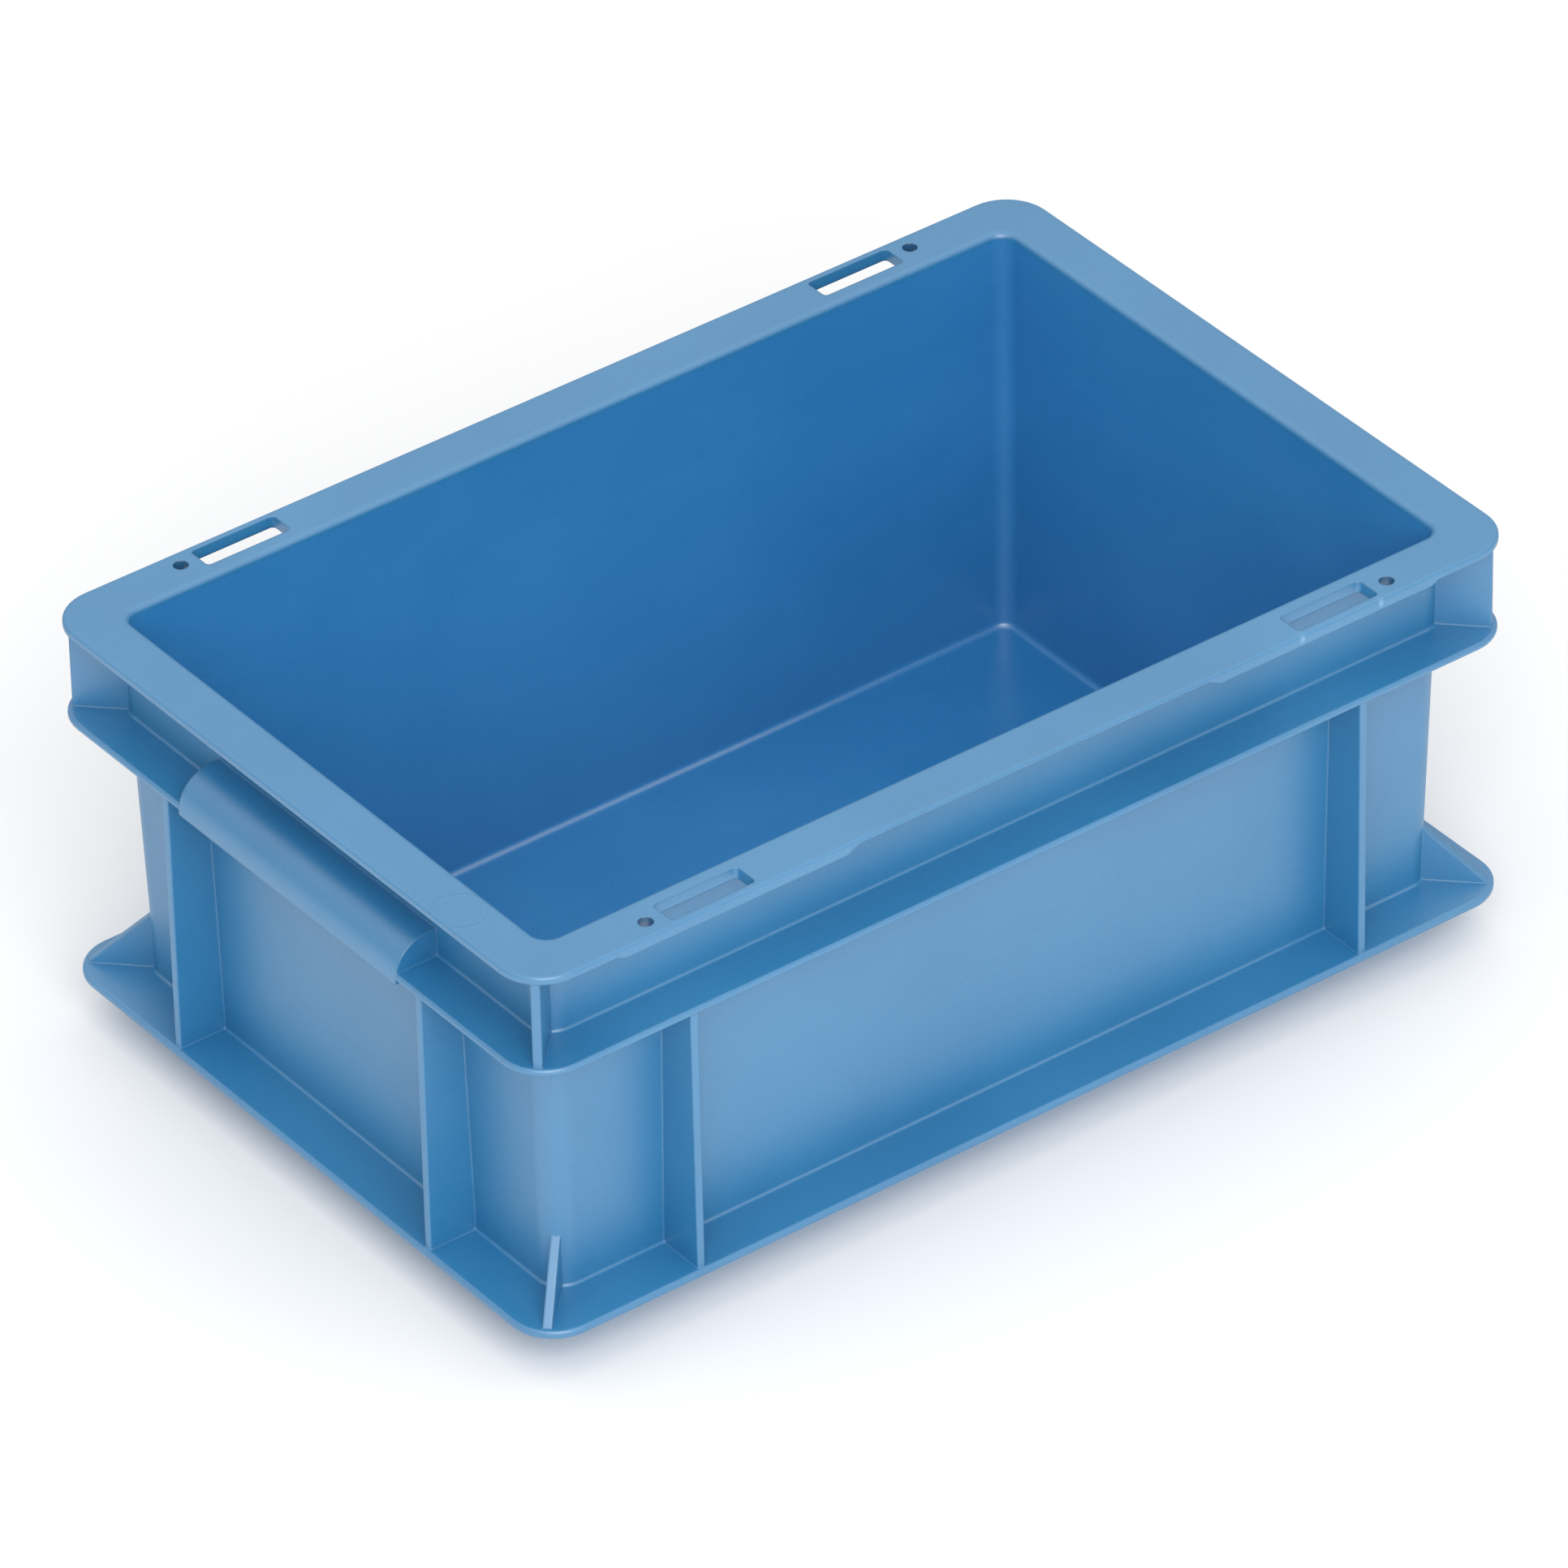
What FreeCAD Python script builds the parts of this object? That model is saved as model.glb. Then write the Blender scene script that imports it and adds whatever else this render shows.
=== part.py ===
import FreeCAD, Part
import os
import Sketcher
from FreeCAD import Placement, Rotation, Vector

# Stacking transport container, one blue polypropylene moulding, sizes in millimetres.
# Origin at the middle of the underside, X along the length, Y across, Z up.

SIZES = {
    # Full height, and the outline that the rim and both flanges share.
    "length": 300,
    "width": 200,
    "height": 120,
    "outline_corner": 12.5,
    # Mouth of the tub, its walls, which lean out towards the rim, and its floor.
    "opening_length": 272,
    "opening_width": 172,
    "opening_corner": 4.5,
    "wall_thick": 2,
    "floor_thick": 2.2,
    # The foot below the base flange drops into the mouth of the container below it,
    # with this play on each side.
    "foot_height": 13,
    "nest_gap": 1,
    # Rim, middle flange and base flange, and the band of wall between the upper two.
    # The rim is thicker round both ends than along the middle of the long sides.
    "rim_thick": 1.4,
    "rim_end_thick": 2.2,
    "middle_thick": 2,
    "base_thick": 2.4,
    "band_height": 27,
    # Rounding of plate edges, of the mouth, of the floor edge and of inside corners.
    "rim_top_round": 0.8,
    "rim_bottom_round": 0.5,
    "flange_round": 0.9,
    "mouth_round": 1.6,
    "floor_round": 2,
    "root_round": 0.8,
    # Upright ribs between the middle flange and the base flange.
    "rib_thick": 2.2,
    "rib_inset": 1,
    "rib_round": 0.4,
    "long_rib_spacing": 204,
    "short_rib_spacing": 104,
    # Diagonal plates at the corners of the band, and gussets on the base flange.
    "plate_thick": 2.3,
    "plate_inset": 1.3,
    "gusset_height": 16,
    # Thick stretches of the rim, each with a long slot and a round hole through it.
    "pad_thick": 3.3,
    "pad_length": 66,
    "pad_ramp": 6,
    "pad_spacing": 179,
    "slot_length": 25,
    "slot_width": 7.6,
    "slot_corner": 1.2,
    "slot_spacing": 189.6,
    "slot_row_spacing": 188.4,
    "hole_diameter": 3.8,
    "hole_spacing": 224.8,
    "hole_row_spacing": 189.4,
    # Grip shells in the middle of the short sides.
    "grip_length": 89,
    "grip_rise": 8,
    "grip_drop": 1,
    "grip_round": 10,
    "grip_thick": 2,
}

doc = FreeCAD.newDocument("container")
sheet = doc.addObject("Spreadsheet::Sheet", "sizes")
for row, (alias, value) in enumerate(SIZES.items(), 1):
    sheet.set(f"A{row}", alias)
    sheet.set(f"B{row}", str(value))
    sheet.setAlias(f"B{row}", alias)
doc.recompute()

# Heights and reaches that several features share, as formulas over the sheet.
BASE_TOP = "($foot_height + $base_thick)"
MIDDLE_TOP = "($height - $band_height)"
MIDDLE_BOTTOM = "($height - $band_height - $middle_thick)"
GRIP_TOP = "($height - $band_height + $grip_rise)"
GRIP_BOTTOM = "($height - $band_height - $middle_thick - $grip_drop)"
LEAN = "atan(($wall_thick + $nest_gap) / $height)"
FOOT_REACH = "($opening_length / 2 - $nest_gap)"
PLATE_TIP = "($outline_corner * (sqrt(2) - 1) + $plate_inset)"


def value_of(formula):
    """The number that a formula over the sheet comes to; $ marks a cell of the sheet."""
    return float(sheet.evalExpression(formula.replace("$", "sizes.")))


def bind(target, path, formula):
    """Ties a property or a constraint to a formula over the sheet."""
    target.setExpression(path, formula.replace("$", "sizes."))


def origin_plane(body, role):
    return next(f for f in body.Origin.OriginFeatures if f.Role == role)


def sketch_on(body, name, role, x="0", y="0", z="0", turn=None):
    """A sketch on an origin plane, turned and moved away from it by formulas."""
    sketch = body.newObject("Sketcher::SketchObject", name)
    sketch.AttachmentSupport = (origin_plane(body, role), [""])
    sketch.MapMode = "FlatFace"
    sketch.AttachmentOffset = Placement(Vector(0, 0, 0), turn or Rotation())
    for axis, formula in (("x", x), ("y", y), ("z", z)):
        if formula != "0":
            bind(sketch, f"AttachmentOffset.Base.{axis}", formula)
    return sketch


def constrain(sketch, *parts):
    return sketch.addConstraint(Sketcher.Constraint(*parts))


def dimension(sketch, name, formula, *parts):
    """A named dimension that follows its formula."""
    index = constrain(sketch, *parts)
    sketch.renameConstraint(index, name)
    bind(sketch, f"Constraints.{name}", formula)


def draw_polygon(sketch, points):
    """Straight sides from point to point and back to the first."""
    count = len(points)
    for i in range(count):
        start, end = points[i], points[(i + 1) % count]
        sketch.addGeometry(Part.LineSegment(Vector(*start, 0), Vector(*end, 0)), False)
    for i in range(count):
        constrain(sketch, "Coincident", i, 2, (i + 1) % count, 1)


def draw_arc(sketch, centre, radius, first_quarter):
    """A quarter circle that starts the given number of quarter turns from the X axis."""
    circle = Part.Circle(Vector(*centre, 0), Vector(0, 0, 1), radius)
    turn = Rotation(Vector(0, 0, 1), 90).Angle
    sketch.addGeometry(Part.ArcOfCircle(circle, first_quarter * turn, (first_quarter + 1) * turn), False)


def plain_rectangle(sketch, left, right, across, half=(10, 5)):
    """A rectangle from left to right of the sketch origin, evenly about its X axis."""
    x, y = half
    draw_polygon(sketch, [(-x, -y), (x, -y), (x, y), (-x, y)])
    constrain(sketch, "Horizontal", 0)
    constrain(sketch, "Vertical", 1)
    constrain(sketch, "Horizontal", 2)
    constrain(sketch, "Symmetric", 0, 1, 3, 1, -1)
    dimension(sketch, "left", left, "DistanceX", -1, 1, 0, 1, -x)
    dimension(sketch, "right", right, "DistanceX", -1, 1, 0, 2, x)
    dimension(sketch, "across", across, "DistanceY", 0, 1, 3, 1, 2 * y)


def rounded_rectangle(sketch, along, across, corner, half=(20, 10), radius=2):
    """A rectangle centred on the sketch origin, with four equal round corners."""
    x, y = half
    near_x, near_y = x - radius, y - radius
    sides = (
        ((x, -near_y), (x, near_y), (near_x, near_y)),
        ((near_x, y), (-near_x, y), (-near_x, near_y)),
        ((-x, near_y), (-x, -near_y), (-near_x, -near_y)),
        ((-near_x, -y), (near_x, -y), (near_x, -near_y)),
    )
    for quarter, (start, end, centre) in enumerate(sides):
        sketch.addGeometry(Part.LineSegment(Vector(*start, 0), Vector(*end, 0)), False)
        draw_arc(sketch, centre, radius, quarter)
    for i in range(8):
        constrain(sketch, "Tangent", i, 2, (i + 1) % 8, 1)
    for i, direction in ((0, "Vertical"), (2, "Horizontal"), (4, "Vertical"), (6, "Horizontal")):
        constrain(sketch, direction, i)
    for i in (3, 5, 7):
        constrain(sketch, "Equal", 1, i)
    constrain(sketch, "Symmetric", 0, 1, 4, 1, -1, 1)
    dimension(sketch, "along", along, "DistanceX", 4, 1, 0, 2, 2 * x)
    dimension(sketch, "across", across, "DistanceY", 6, 1, 2, 1, 2 * y)
    dimension(sketch, "corner", corner, "Radius", 1, radius)


def pad(body, name, sketch, depth, side="One side", reverse=False):
    feature = body.newObject("PartDesign::Pad", name)
    feature.Profile = sketch
    feature.SideType = side
    feature.Reversed = reverse
    bind(feature, "Length", depth)
    return feature


def pocket(body, name, sketch, depth, side="One side"):
    feature = body.newObject("PartDesign::Pocket", name)
    feature.Profile = sketch
    feature.SideType = side
    bind(feature, "Length", depth)
    return feature


def mirror_across(body, name, role):
    mirror = body.newObject("PartDesign::Mirrored", name)
    mirror.MirrorPlane = (origin_plane(body, role), [""])
    return mirror


def on_both_ends(body, name, feature):
    """Repeats a feature at the other short side."""
    mirror = mirror_across(body, name, "YZ_Plane")
    mirror.Originals = [feature]
    body.Tip = mirror


def in_all_quarters(body, name, feature):
    """Repeats a feature in the four quarters of the container."""
    repeat = body.newObject("PartDesign::MultiTransform", name)
    repeat.Originals = [feature]
    repeat.Transformations = [
        mirror_across(body, f"{name}_along", "YZ_Plane"),
        mirror_across(body, f"{name}_across", "XZ_Plane"),
    ]
    body.Tip = repeat


def tidy(length):
    """A length to a hundredth of a millimetre, so that equal places compare as equal."""
    return round(length, 2)


def reach(box):
    """How far a box reaches from the middle of the container, along and across."""
    return max(abs(box.XMin), abs(box.XMax)), max(abs(box.YMin), abs(box.YMax))


def is_inside(box, half_sizes):
    along, across = reach(box)
    return tidy(along - half_sizes[0]) <= 0 and tidy(across - half_sizes[1]) <= 0


def is_level(box, low, high):
    return tidy(low - box.ZMin) <= 0 and tidy(box.ZMax - high) <= 0


def is_upright(box):
    return box.ZLength > value_of("$height") / 2


def is_rib_edge(edge):
    """A full-height edge that stands plumb, as the ribs do; the edges of the walls lean."""
    box = edge.BoundBox
    return is_upright(box) and tidy(box.XLength) == 0 and tidy(box.YLength) == 0


def on_outline(point):
    """Whether a point stands on the outline that the rim and both flanges share."""
    corner = value_of("$outline_corner")
    dx = abs(point.x) - value_of("$length / 2") + corner
    dy = abs(point.y) - value_of("$width / 2") + corner
    distance = (dx * dx + dy * dy) ** 0.5 if dx > 0 and dy > 0 else max(dx, dy)
    return tidy(distance - corner) == 0


def is_outline_edge(edge, low, high):
    """A run of the outline between two heights, short upright edges left out."""
    box = edge.BoundBox
    runs_along = tidy(box.XLength) > 0 or tidy(box.YLength) > 0
    middle = edge.valueAt((edge.FirstParameter + edge.LastParameter) / 2)
    return is_level(box, low, high) and runs_along and on_outline(middle)


def edge_names(shape, test):
    return [f"Edge{i}" for i, edge in enumerate(shape.Edges, 1) if test(edge)]


def round_edges(body, name, test, radius):
    """A fillet on the edges of the body that pass the test."""
    doc.recompute()
    base = body.Tip
    fillet = body.newObject("PartDesign::Fillet", name)
    fillet.Base = (base, edge_names(base.Shape, test))
    bind(fillet, "Radius", radius)


def lean_outwards(body, name, half_sizes, inside=False):
    """Mould draft on the upright faces within the half sizes, from the underside up."""
    doc.recompute()
    base = body.Tip
    faces = enumerate(base.Shape.Faces, 1)
    upright = [f"Face{i}" for i, f in faces if is_upright(f.BoundBox) and is_inside(f.BoundBox, half_sizes)]
    draft = body.newObject("PartDesign::Draft", name)
    draft.Base = (base, upright)
    draft.NeutralPlane = (origin_plane(body, "XY_Plane"), [""])
    draft.Reversed = not inside
    bind(draft, "Angle", LEAN)


def tub_outside(body):
    """The leaning outside of the tub, from the foot to the rim."""
    outline = sketch_on(body, "tub_outline", "XY_Plane")
    plain_rectangle(outline, f"-{FOOT_REACH}", FOOT_REACH, "$opening_width - 2 * $nest_gap")
    pad(body, "tub", outline, "$height")
    lean_outwards(body, "tub_lean", (value_of("$length"), value_of("$width")))
    round_edges(body, "tub_corners", lambda e: is_upright(e.BoundBox), "$opening_corner + $wall_thick")


def flange(body, name, top, thick):
    """A level plate below the rim, with a rounded edge and a small fillet at the wall above it."""
    outline = sketch_on(body, f"{name}_outline", "XY_Plane", z=f"{top} - {thick}")
    rounded_rectangle(outline, "$length", "$width", "$outline_corner", (40, 30), 5)
    pad(body, name, outline, thick)
    low, level = value_of(f"{top} - {thick}"), value_of(top)
    wall = (value_of("$opening_length / 2 + $wall_thick"), value_of("$opening_width / 2 + $wall_thick"))
    round_edges(body, f"{name}_edge", lambda e: is_outline_edge(e, low, level), "$flange_round")
    round_edges(
        body,
        f"{name}_root",
        lambda e: is_level(e.BoundBox, level, level) and is_inside(e.BoundBox, wall),
        "$root_round",
    )


def grip_gaps(body):
    """The stretches of the middle flange that make way for the grips."""
    outline = sketch_on(body, "grip_gap_outline", "XY_Plane", z=GRIP_TOP)
    plain_rectangle(outline, FOOT_REACH, "$length / 2 + $flange_round", "$grip_length")
    gap = pocket(body, "grip_gap", outline, f"{GRIP_TOP} - {GRIP_BOTTOM}")
    on_both_ends(body, "grip_gaps", gap)


def rim_end_outline(sketch):
    """One end of the rim: a straight inner side and two round outer corners."""
    points = [(10, -20), (30, -20), (35, -15), (35, 15), (30, 20), (10, 20)]
    line_ends = ((5, 0), (0, 1), (2, 3), (4, 5))
    for start, end in line_ends:
        sketch.addGeometry(Part.LineSegment(Vector(*points[start], 0), Vector(*points[end], 0)), False)
    draw_arc(sketch, (30, -15), 5, 3)
    draw_arc(sketch, (30, 15), 5, 0)
    inner, near, outer, far, near_corner, far_corner = range(6)
    constrain(sketch, "Coincident", inner, 2, near, 1)
    constrain(sketch, "Tangent", near, 2, near_corner, 1)
    constrain(sketch, "Tangent", near_corner, 2, outer, 1)
    constrain(sketch, "Tangent", outer, 2, far_corner, 1)
    constrain(sketch, "Tangent", far_corner, 2, far, 1)
    constrain(sketch, "Coincident", far, 2, inner, 1)
    constrain(sketch, "Horizontal", near)
    constrain(sketch, "Vertical", outer)
    constrain(sketch, "Horizontal", far)
    constrain(sketch, "Equal", near_corner, far_corner)
    constrain(sketch, "Symmetric", inner, 1, inner, 2, -1)
    dimension(sketch, "reach", "$length / 2", "DistanceX", -1, 1, outer, 1, 35)
    dimension(sketch, "start", "($pad_spacing + $pad_length) / 2", "DistanceX", -1, 1, inner, 1, 10)
    dimension(sketch, "across", "$width", "DistanceY", inner, 2, inner, 1, 40)
    dimension(sketch, "corner", "$outline_corner", "Radius", near_corner, 5)


def rim(body):
    """The top plate, thicker at both ends, which lands the next container's base flange."""
    outline = sketch_on(body, "rim_outline", "XY_Plane", z="$height - $rim_thick")
    rounded_rectangle(outline, "$length", "$width", "$outline_corner", (40, 30), 5)
    pad(body, "rim", outline, "$rim_thick")
    end = sketch_on(body, "rim_end_outline", "XY_Plane", z="$height - $rim_end_thick")
    rim_end_outline(end)
    on_both_ends(body, "rim_ends", pad(body, "rim_end", end, "$rim_end_thick"))


def upright_ribs(body):
    """Ribs from the base flange to the middle flange, two on each side, with rounded outer edges."""
    root = "($length - $opening_length) / 2 + $nest_gap + $wall_thick"
    places = (
        ("long_rib", "$long_rib_spacing / 2", "$width / 2", -90),
        ("short_rib", "$length / 2", "$short_rib_spacing / 2", 180),
    )
    for name, x, y, turn in places:
        outline = sketch_on(body, f"{name}_outline", "XY_Plane", x, y, BASE_TOP, Rotation(Vector(0, 0, 1), turn))
        plain_rectangle(outline, "$rib_inset", root, "$rib_thick")
        rib = pad(body, name, outline, f"{MIDDLE_BOTTOM} - {BASE_TOP}")
        in_all_quarters(body, f"{name}s", rib)
    round_edges(body, "rib_edges", is_rib_edge, "$rib_round")


def corner_plates(body):
    """Upright plates on the diagonals, between the middle flange and the rim."""
    turn = Rotation(Vector(0, 0, 1), 225)
    root = "sqrt(2) * (($length - $opening_length) / 2 - $wall_thick) + $opening_corner"
    outline = sketch_on(body, "corner_plate_outline", "XY_Plane", "$length / 2", "$width / 2", MIDDLE_TOP, turn)
    plain_rectangle(outline, PLATE_TIP, root, "$plate_thick")
    plate = pad(body, "corner_plate", outline, "$band_height - $rim_thick")
    in_all_quarters(body, "corner_plates", plate)


def gussets(body):
    """Triangular webs on the diagonals, between the base flange and the foot of the walls."""
    turn = Rotation(Vector(0, 0, 1), 225) * Rotation(Vector(1, 0, 0), 90)
    root = "sqrt(2) * (($length - $opening_length) / 2 + $nest_gap) + $opening_corner / 2"
    web = sketch_on(body, "gusset_outline", "XY_Plane", "$length / 2", "$width / 2", BASE_TOP, turn)
    draw_polygon(web, [(6, 0), (24, 0), (24, 16)])
    constrain(web, "PointOnObject", 0, 1, -1)
    constrain(web, "Horizontal", 0)
    constrain(web, "Vertical", 1)
    dimension(web, "tip", PLATE_TIP, "DistanceX", -1, 1, 0, 1, 6)
    dimension(web, "root", root, "DistanceX", -1, 1, 0, 2, 24)
    dimension(web, "rise", "$gusset_height", "DistanceY", 1, 1, 1, 2, 16)
    gusset = pad(body, "gusset", web, "$plate_thick", "Symmetric")
    in_all_quarters(body, "gussets", gusset)


def slot_pads(body):
    """Thicker stretches of the rim along the long sides, with sloping ends."""
    side = sketch_on(body, "slot_pad_outline", "XZ_Plane", "$pad_spacing / 2", "$height", "$width / 2")
    draw_polygon(side, [(-35, 0), (-32, -4), (32, -4), (35, 0)])
    constrain(side, "PointOnObject", 0, 1, -1)
    constrain(side, "Symmetric", 0, 1, 3, 1, -2)
    constrain(side, "Symmetric", 1, 1, 2, 1, -2)
    dimension(side, "ramp_top", "$pad_length + 2 * $pad_ramp", "DistanceX", 0, 1, 3, 1, 70)
    dimension(side, "ramp_foot", "$pad_length", "DistanceX", 1, 1, 2, 1, 64)
    dimension(side, "depth", "$pad_thick", "DistanceY", 1, 1, 0, 1, 4)
    slab = pad(body, "slot_pad", side, "($width - $opening_width) / 2", reverse=True)
    in_all_quarters(body, "slot_pads", slab)


def rim_edges(body):
    """Rounding along the top and the bottom of the rim's outer edge."""
    low, high, top = (value_of(f) for f in ("$height - $pad_thick", "$height - $rim_thick", "$height"))
    round_edges(body, "rim_top_edge", lambda e: is_outline_edge(e, top, top), "$rim_top_round")
    round_edges(body, "rim_bottom_edge", lambda e: is_outline_edge(e, low, high), "$rim_bottom_round")


def grip_profile(body, name, top, out, root, bend):
    """Section across a grip: level top, quarter-round shoulder and a short upright lip."""
    section = sketch_on(body, name, "XZ_Plane")
    section.addGeometry(Part.LineSegment(Vector(130, 100, 0), Vector(130, 90, 0)), False)
    section.addGeometry(Part.LineSegment(Vector(130, 90, 0), Vector(149, 90, 0)), False)
    section.addGeometry(Part.LineSegment(Vector(149, 90, 0), Vector(149, 93, 0)), False)
    draw_arc(section, (142, 93), 7, 0)
    section.addGeometry(Part.LineSegment(Vector(142, 100, 0), Vector(130, 100, 0)), False)
    constrain(section, "Coincident", 0, 2, 1, 1)
    constrain(section, "Coincident", 1, 2, 2, 1)
    constrain(section, "Tangent", 2, 2, 3, 1)
    constrain(section, "Tangent", 3, 2, 4, 1)
    constrain(section, "Coincident", 4, 2, 0, 1)
    constrain(section, "Vertical", 0)
    constrain(section, "Horizontal", 1)
    constrain(section, "Vertical", 2)
    constrain(section, "Horizontal", 4)
    dimension(section, "out", out, "DistanceX", -1, 1, 1, 2, 149)
    dimension(section, "root", root, "DistanceX", -1, 1, 0, 1, 130)
    dimension(section, "top", top, "DistanceY", -1, 1, 0, 1, 100)
    dimension(section, "bottom", GRIP_BOTTOM, "DistanceY", -1, 1, 1, 1, 90)
    dimension(section, "bend", bend, "Radius", 3, 7)
    return section


def grips(body):
    """The closed quarter-round bodies that stand in for the middle flange on the short sides."""
    section = grip_profile(body, "grip_outline", GRIP_TOP, "$length / 2", FOOT_REACH, "$grip_round")
    on_both_ends(body, "grips", pad(body, "grip", section, "$grip_length", "Symmetric"))


def cavity(body):
    """The inside of the tub, leaning like the outside, with round corners and floor edges."""
    outline = sketch_on(body, "cavity_outline", "XY_Plane", z="$height")
    along = f"({FOOT_REACH} - $wall_thick)"
    plain_rectangle(outline, f"-{along}", along, "$opening_width - 2 * ($nest_gap + $wall_thick)")
    pocket(body, "cavity", outline, "$height - $floor_thick")
    mouth = (value_of("$opening_length / 2"), value_of("$opening_width / 2"))
    top, floor = value_of("$height"), value_of("$floor_thick")
    lean_outwards(body, "cavity_lean", mouth, inside=True)
    round_edges(
        body,
        "cavity_corners",
        lambda e: is_upright(e.BoundBox) and is_inside(e.BoundBox, mouth),
        "$opening_corner",
    )
    round_edges(
        body,
        "floor_edge",
        lambda e: is_level(e.BoundBox, floor, floor) and is_inside(e.BoundBox, mouth),
        "$floor_round",
    )
    round_edges(
        body,
        "mouth_edge",
        lambda e: is_level(e.BoundBox, top, top) and is_inside(e.BoundBox, mouth),
        "$mouth_round",
    )


def finger_hollows(body):
    """The finger space inside each grip, open from below."""
    section = grip_profile(
        body,
        "finger_hollow_outline",
        f"{GRIP_TOP} - $grip_thick",
        "$length / 2 - $grip_thick",
        "$opening_length / 2 + $wall_thick",
        "$grip_round - $grip_thick",
    )
    hollow = pocket(body, "finger_hollow", section, "$grip_length - 2 * $grip_thick", "Symmetric")
    on_both_ends(body, "finger_hollows", hollow)


def slots_and_holes(body):
    """A long slot and a round hole through each thick stretch of the rim."""
    x, y = "$slot_spacing / 2", "$slot_row_spacing / 2"
    opening = sketch_on(body, "slot_outline", "XY_Plane", x, y, "$height")
    rounded_rectangle(opening, "$slot_length", "$slot_width", "$slot_corner", (10, 3), 1)
    in_all_quarters(body, "slots", pocket(body, "slot", opening, "$pad_thick"))
    x, y = "$hole_spacing / 2", "$hole_row_spacing / 2"
    spot = sketch_on(body, "hole_outline", "XY_Plane", x, y, "$height")
    spot.addGeometry(Part.Circle(Vector(0, 0, 0), Vector(0, 0, 1), 2), False)
    constrain(spot, "Coincident", 0, 3, -1, 1)
    dimension(spot, "bore", "$hole_diameter", "Diameter", 0, 4)
    in_all_quarters(body, "holes", pocket(body, "hole", spot, "$pad_thick"))


def build_container():
    body = doc.addObject("PartDesign::Body", "container")
    body.Label = "container"
    body.Placement = Placement(Vector(0, 0, 0), Rotation())
    tub_outside(body)
    flange(body, "base_flange", BASE_TOP, "$base_thick")
    flange(body, "middle_flange", MIDDLE_TOP, "$middle_thick")
    grip_gaps(body)
    rim(body)
    upright_ribs(body)
    corner_plates(body)
    gussets(body)
    slot_pads(body)
    rim_edges(body)
    grips(body)
    cavity(body)
    finger_hollows(body)
    slots_and_holes(body)
    return body


def check_and_write(pieces):
    """Stops on any failed feature or bad solid, then writes one file for each piece."""
    doc.recompute()
    for item in doc.Objects:
        if "Invalid" in item.State or "Error" in item.State:
            raise RuntimeError(f"{item.Name} failed")
    os.makedirs("parts", exist_ok=True)
    for piece in pieces:
        shape = piece.Shape
        if shape.isNull() or not shape.isValid() or len(shape.Solids) != 1:
            raise RuntimeError(f"{piece.Label} is not one sound solid")
        shape.exportStep(f"parts/{piece.Label}.step")


check_and_write([build_container()])
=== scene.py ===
import math

import bpy
from mathutils import Matrix, Vector


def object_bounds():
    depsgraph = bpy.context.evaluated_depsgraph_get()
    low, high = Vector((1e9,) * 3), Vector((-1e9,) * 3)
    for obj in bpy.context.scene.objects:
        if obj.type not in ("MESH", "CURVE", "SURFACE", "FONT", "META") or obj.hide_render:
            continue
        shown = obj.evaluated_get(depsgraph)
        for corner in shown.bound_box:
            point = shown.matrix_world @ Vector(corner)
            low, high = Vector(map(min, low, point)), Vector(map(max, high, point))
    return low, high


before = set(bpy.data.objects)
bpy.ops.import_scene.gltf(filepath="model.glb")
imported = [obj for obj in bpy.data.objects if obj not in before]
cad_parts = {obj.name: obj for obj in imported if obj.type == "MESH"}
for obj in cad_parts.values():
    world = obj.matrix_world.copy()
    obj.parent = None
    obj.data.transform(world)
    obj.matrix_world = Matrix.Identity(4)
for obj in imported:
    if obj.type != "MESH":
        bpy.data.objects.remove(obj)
cad_box = [list(corner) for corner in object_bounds()]

# The container is one injection moulding in blue polypropylene: tub, three flanges, ribs,
# gussets and grip shells leave the mould as one shell. Nothing is fixed to it afterwards.
# Its skin has the fine grain of the mould steel, and shallow sinks where ribs meet a wall.

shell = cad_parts["container"]
half_length, half_width, rim_height = cad_box[1]


class Wire:
    """A socket of a material. Arithmetic on one that carries a number adds Math nodes."""

    def __init__(self, tree, socket=None):
        self.tree = tree
        self.socket = socket

    def node(self, kind, settings, inputs, output=0):
        """Adds a node, sets it up, fills its sockets and returns the wire of one output."""
        made = self.tree.nodes.new(kind)
        for name, value in settings.items():
            setattr(made, name, value)
        for name, value in inputs.items():
            if isinstance(value, Wire):
                self.tree.links.new(value.socket, made.inputs[name])
            else:
                made.inputs[name].default_value = value
        return Wire(self.tree, made.outputs[output] if made.outputs else None)

    def maths(self, operation, *values):
        """A Math node; its inputs share one name, so they go by number."""
        return self.node("ShaderNodeMath", {"operation": operation}, dict(enumerate(values)))

    def __add__(self, other):
        return self.maths("ADD", self, other)

    def __radd__(self, other):
        return self.maths("ADD", other, self)

    def __sub__(self, other):
        return self.maths("SUBTRACT", self, other)

    def __rsub__(self, other):
        return self.maths("SUBTRACT", other, self)

    def __mul__(self, other):
        return self.maths("MULTIPLY", self, other)

    def __rmul__(self, other):
        return self.maths("MULTIPLY", other, self)

    def __abs__(self):
        return self.maths("ABSOLUTE", self)

    def root(self):
        """The square root."""
        return self.maths("SQRT", self)

    def rise(self, start, end):
        """Climbs smoothly from 0 at start to 1 at end."""
        return self.node(
            "ShaderNodeMapRange",
            {"interpolation_type": "SMOOTHSTEP"},
            {"Value": self, "From Min": start, "From Max": end},
        )

    def bump(self, width):
        """A smooth ridge of 1 where the value is 0, gone at that distance on each side."""
        return 1 - abs(self).rise(0, width)

    def blend(self, under, over):
        """Mixes two colours, from the first at 0 to the second at 1."""
        first, second, result = 6, 7, 2  # the sockets of a Mix node that carry colours
        return self.node(
            "ShaderNodeMix",
            {"data_type": "RGBA"},
            {"Factor": self, first: under, second: over},
            result,
        )


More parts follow.
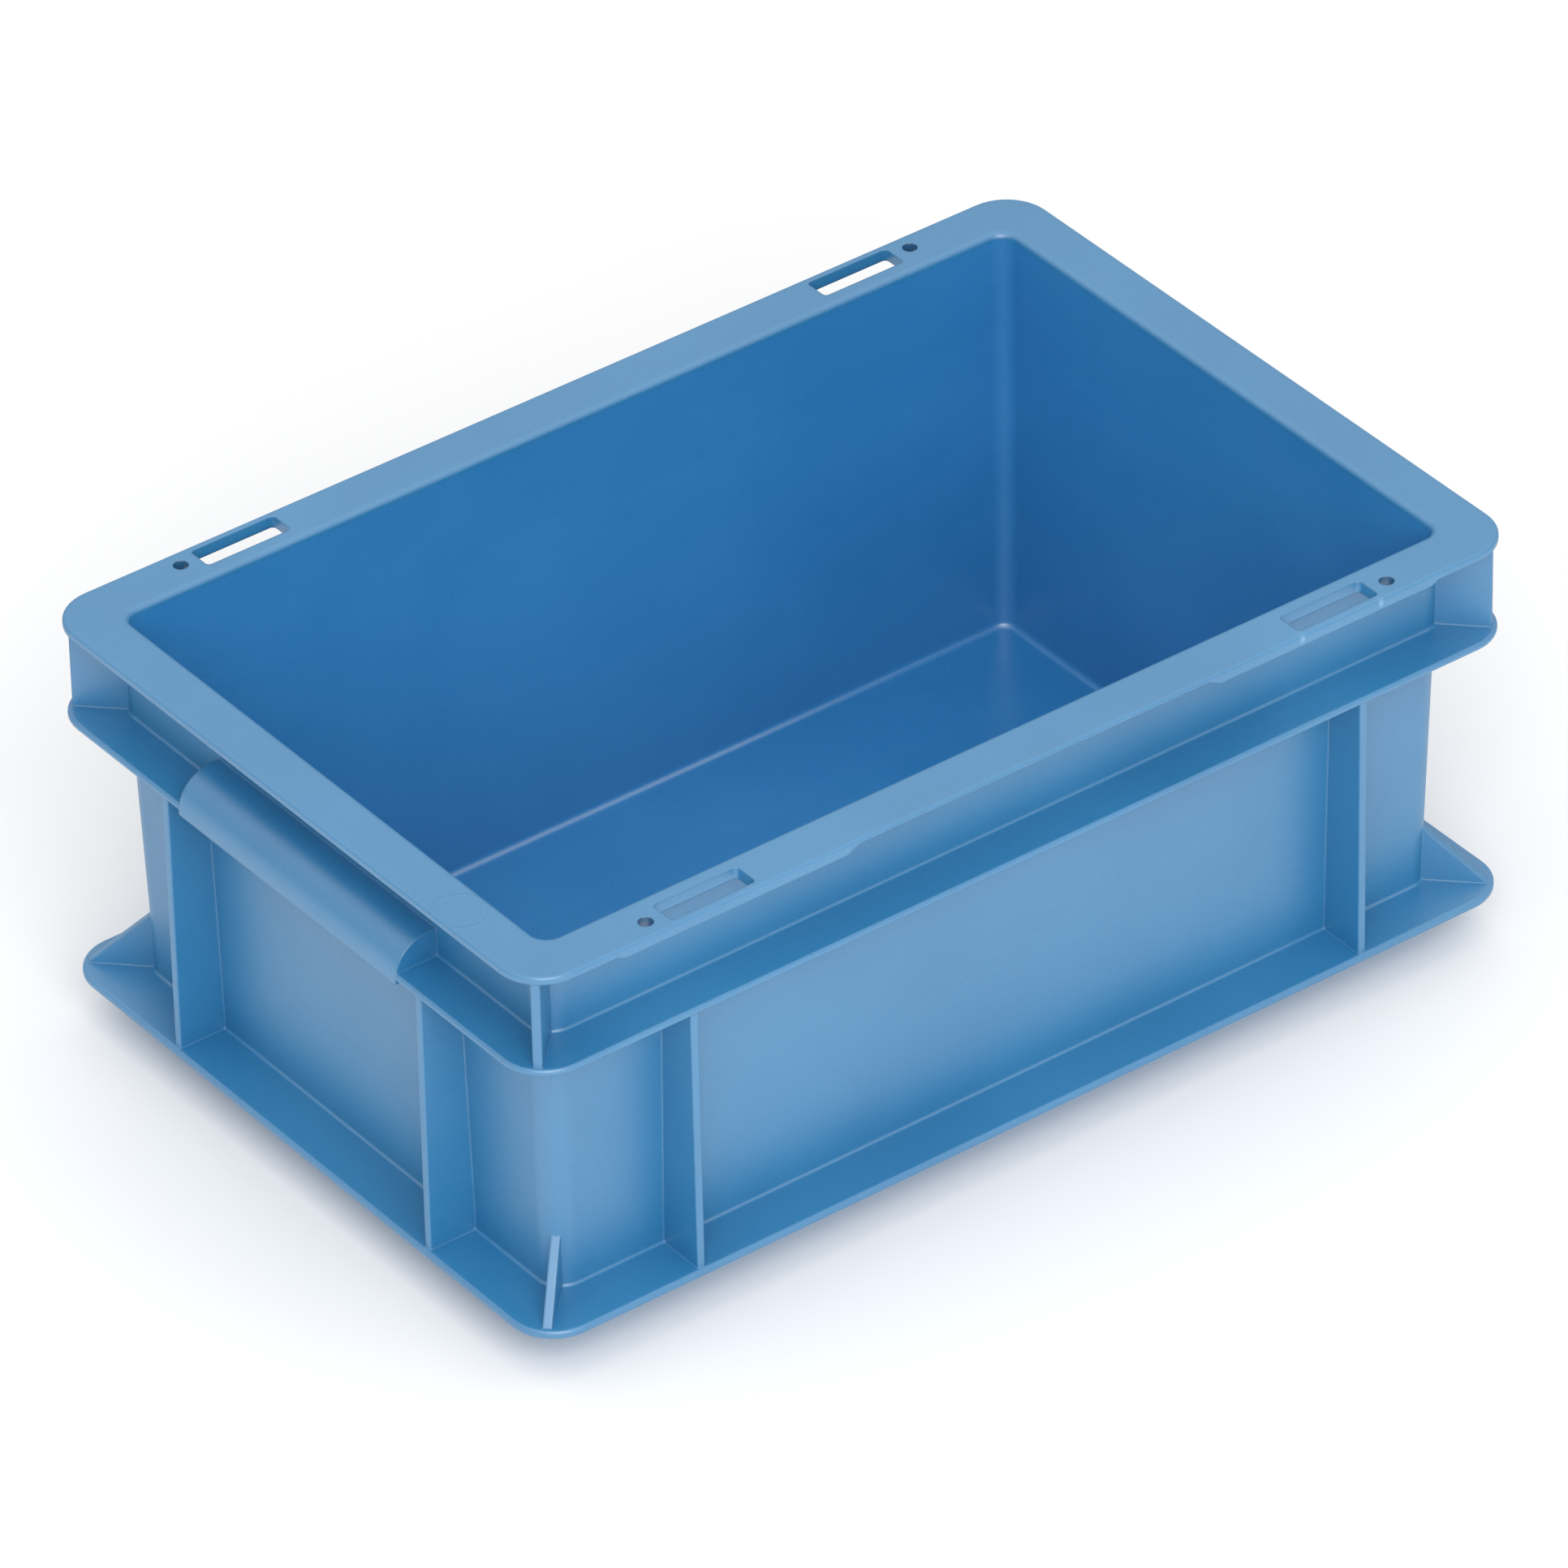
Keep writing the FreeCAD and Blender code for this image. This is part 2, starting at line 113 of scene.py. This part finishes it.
polypropylene = bpy.data.materials.new("moulded_polypropylene")
polypropylene.use_nodes = True
polypropylene.node_tree.nodes.clear()
shader = Wire(polypropylene.node_tree)

place = shader.node("ShaderNodeTexCoord", {}, {}, "Object")
along, across, height = (
    shader.node("ShaderNodeSeparateXYZ", {}, {"Vector": place}, axis) for axis in "XYZ"
)


def noise(size, detail):
    """Cloudy noise whose blotches are about that many metres across."""
    return shader.node(
        "ShaderNodeTexNoise", {}, {"Vector": place, "Scale": 1 / size, "Detail": detail}, "Fac"
    )


# The core of the mould shapes the skin within the walls, which lean out by 3 mm to the rim.
# The mask of that skin ends in the middle of the wall and at the lip of the mouth.
lean = 0.025
wall_inset = 0.016
half_blur = 0.0005
wall_x = half_length - wall_inset
wall_y = half_width - wall_inset
corner_cut = 0.2146
corner_blur = 0.0014
skin_bottom = 0.0008
skin_top = 0.1175
within_x = 1 - (abs(along) - height * lean).rise(wall_x - half_blur, wall_x + half_blur)
within_y = 1 - (abs(across) - height * lean).rise(wall_y - half_blur, wall_y + half_blur)
from_middle = abs(along) + abs(across) - height * (2 * lean)
within_corner = 1 - from_middle.rise(corner_cut, corner_cut + corner_blur)
above_base = height.rise(skin_bottom, 2 * skin_bottom) * (1 - height.rise(skin_top, skin_top + 0.0015))
inside = within_x * within_y * within_corner * above_base

# Pigment spreads a little unevenly as the melt flows out from the middle of the floor. Inside the tub
# the colour is painted lighter and bluer, as painted light standing in for the light that bounces
# between the inner walls; outside it is duller.
flow_size = 0.055
speck_size = 0.0011
speck_share = 0.3
flow = noise(flow_size, 3) * (1 - speck_share) + noise(speck_size, 2) * speck_share
flow = flow.rise(0.32, 0.68)
outer_tone = flow.blend((0.011, 0.169, 0.367, 1), (0.019, 0.196, 0.406, 1))
inner_tone_painted_bounce = flow.blend((0.015, 0.188, 0.445, 1), (0.024, 0.216, 0.485, 1))
pigment_and_painted_bounce = inside.blend(outer_tone, inner_tone_painted_bounce)

# Edges outside are painted pale in patches: partly wear from shelves and the next container, partly
# painted highlight where edges catch the light.
edge_reach = 0.0007
patch_size = 0.006
edge_share = 0.35
edge_pale_wear_and_highlight = (0.130, 0.330, 0.560, 1)
soft_normal = shader.node("ShaderNodeBevel", {"samples": 6}, {"Radius": edge_reach})
face_normal = shader.node("ShaderNodeNewGeometry", {}, {}, "True Normal")
facing = shader.node(
    "ShaderNodeVectorMath", {"operation": "DOT_PRODUCT"}, {0: soft_normal, 1: face_normal}, "Value"
)
patches = noise(patch_size, 4).rise(0.35, 0.70)
edge_wear_and_highlight = (1 - facing).rise(0.02, 0.30) * patches * (1 - inside)
worn_and_highlighted = (edge_wear_and_highlight * edge_share).blend(pigment_and_painted_bounce, edge_pale_wear_and_highlight)

# Two small pale spots are painted on the lip at the ends of one slot.
tick_size = 0.0011
tick_height = 0.1188
tick_share = 0.75
tick_pale = (0.190, 0.400, 0.640, 1)
pale_ticks = 0
for tick_at in (0.0820, 0.1064):
    tick_along = (along - tick_at).bump(tick_size)
    pale_ticks = pale_ticks + tick_along * (height - tick_height).bump(1.4 * tick_size)
pale_ticks = pale_ticks * across.rise(-0.0975, -0.0985)
with_pale_ticks = (pale_ticks * tick_share).blend(worn_and_highlighted, tick_pale)

# The walls of the four small holes in the rim are painted dark: painted shade standing in for the
# shadow deep inside them.
hole_from_end = 0.0376
hole_from_edge = 0.0053
hole_radius = 0.0019
hole_bottom = 0.112
hole_shade_share = 0.8
hole_painted_shade = (0.006, 0.075, 0.185, 1)
past_x = abs(along) - (half_length - hole_from_end)
past_y = abs(across) - (half_width - hole_from_edge)
from_hole = (past_x * past_x + past_y * past_y).root()
in_hole = 1 - from_hole.rise(hole_radius, hole_radius + 0.0002)
in_hole = in_hole * height.rise(hole_bottom, hole_bottom + 0.002)
colour = (in_hole * hole_shade_share).blend(with_pale_ticks, hole_painted_shade)

# Opposite each rib and the middle flange the inner skin sinks by some hundredths of a
# millimetre.
rib_from_end = 0.048
flange_height = 0.092
sink_width = 0.004
sink_depth = 0.00006
sinks = (
    (abs(along) - (half_length - rib_from_end)).bump(sink_width)
    + (abs(across) - (half_width - rib_from_end)).bump(sink_width)
    + (height - flange_height).bump(1.25 * sink_width)
)

# An ejector pin leaves a shallow round witness on the rim, near one corner.
pin_at = (-0.1440, -0.0640, rim_height)
pin_radius = 0.0067
pin_depth = 0.00006
pin_line = 0.0006
from_pin = shader.node(
    "ShaderNodeVectorMath", {"operation": "DISTANCE"}, {0: place, 1: pin_at}, "Value"
)
pin_mark = (from_pin - pin_radius).bump(pin_line)

# The mould steel gives a fine grain, and cooling leaves long shallow waves.
grain_size = 0.00045
grain_depth = 0.000012
wave_size = 0.028
wave_depth = 0.00022
relief = (
    noise(grain_size, 3) * grain_depth
    + noise(wave_size, 1) * wave_depth
    - sinks * inside * sink_depth
    + pin_mark * pin_depth
)
surface = shader.node(
    "ShaderNodeBump",
    {},
    {"Strength": 1.0, "Distance": 1.0, "Height": relief, "Normal": soft_normal},
)

# The whole skin is satin, cloudy in places, duller where it is rubbed and smoother on the
# floor of the tub.
satin = 0.38
cloud_size = 0.012
cloudy = 0.10
rubbed = 0.12
smoother = 0.14
floor_top = 0.0024
tub_floor = inside * (1 - height.rise(floor_top, floor_top + 0.0016))
roughness = satin + noise(cloud_size, 4) * cloudy + edge_wear_and_highlight * rubbed - tub_floor * smoother
plastic = shader.node(
    "ShaderNodeBsdfPrincipled",
    {},
    {
        "Base Color": colour,
        "Roughness": roughness,
        "IOR": 1.68,
        "Specular IOR Level": 1.0,
        "Normal": surface,
    },
)
shader.node("ShaderNodeOutputMaterial", {}, {"Surface": plastic})
shell.material_slots[0].material = polypropylene

# The floor is a plain pale studio table of matt paper, many times larger than the container,
# which rests on it by its foot.

floor_half = 4.0
floor_corners = [
    (-floor_half, -floor_half, 0),
    (floor_half, -floor_half, 0),
    (floor_half, floor_half, 0),
    (-floor_half, floor_half, 0),
]
floor_mesh = bpy.data.meshes.new("floor")
floor_mesh.from_pydata(floor_corners, [], [(0, 1, 2, 3)])
floor = bpy.data.objects.new("floor", floor_mesh)
bpy.context.scene.collection.objects.link(floor)
paper = bpy.data.materials.new("pale_paper")
paper.use_nodes = True
paper_shader = paper.node_tree.nodes["Principled BSDF"]
paper_shader.inputs["Base Color"].default_value = (0.90, 0.90, 0.90, 1)
paper_shader.inputs["Roughness"].default_value = 0.9
paper_shader.inputs["Specular IOR Level"].default_value = 0.0
floor_mesh.materials.append(paper)

# The studio is a white tent whose glow grows from the horizon upwards. One large soft lamp
# beside the camera lights the long side.

world = bpy.data.worlds.new("tent")
bpy.context.scene.world = world
world.use_nodes = True
world.node_tree.nodes.clear()
tent = Wire(world.node_tree)
direction = tent.node("ShaderNodeTexCoord", {}, {}, "Generated")
upward = tent.node("ShaderNodeSeparateXYZ", {}, {"Vector": direction}, "Z")
glow = tent.node(
    "ShaderNodeMapRange",
    {},
    {"Value": upward, "From Min": 0.0, "From Max": 0.8, "To Min": 0.29, "To Max": 1.19},
)
white = (1, 1, 1, 1)
backdrop = tent.node("ShaderNodeBackground", {}, {"Color": white, "Strength": glow})
tent.node("ShaderNodeOutputWorld", {}, {"Surface": backdrop})

middle = Vector((0, 0, rim_height / 2))
lamp_azimuth = math.radians(-28)
lamp_elevation = math.radians(33)
lamp_distance = 2.0
lamp = bpy.data.lights.new("key", "AREA")
lamp.size = 1.4
lamp.energy = 24
lamp_holder = bpy.data.objects.new("key", lamp)
towards_lamp = Vector((
    math.sin(lamp_azimuth) * math.cos(lamp_elevation),
    -math.cos(lamp_azimuth) * math.cos(lamp_elevation),
    math.sin(lamp_elevation),
))
lamp_holder.location = middle + towards_lamp * lamp_distance
lamp_holder.rotation_mode = "QUATERNION"
lamp_holder.rotation_quaternion = (-towards_lamp).to_track_quat("-Z", "Y")
bpy.context.scene.collection.objects.link(lamp_holder)

bpy.context.scene.view_settings.view_transform = "Standard"

# The camera stands far off with a long lens, as the nearly parallel edges in view ask for. It
# looks down at the near left corner and is rolled a little to one side.

view_azimuth = math.radians(-36.513)
view_elevation = math.radians(35.491)
view_roll = math.radians(-1.3)
stand_off = Vector((-0.000694, -0.002557, 3.4))
turn = (
    Matrix.Rotation(view_azimuth, 3, "Z")
    @ Matrix.Rotation(math.pi / 2 - view_elevation, 3, "X")
    @ Matrix.Rotation(view_roll, 3, "Z")
)
camera = bpy.data.objects.new("camera", bpy.data.cameras.new("camera"))
camera.data.sensor_width = 36
camera.data.lens = 317.38
camera.matrix_world = Matrix.Translation(middle + turn @ stand_off) @ turn.to_4x4()
bpy.context.scene.collection.objects.link(camera)
bpy.context.scene.camera = camera
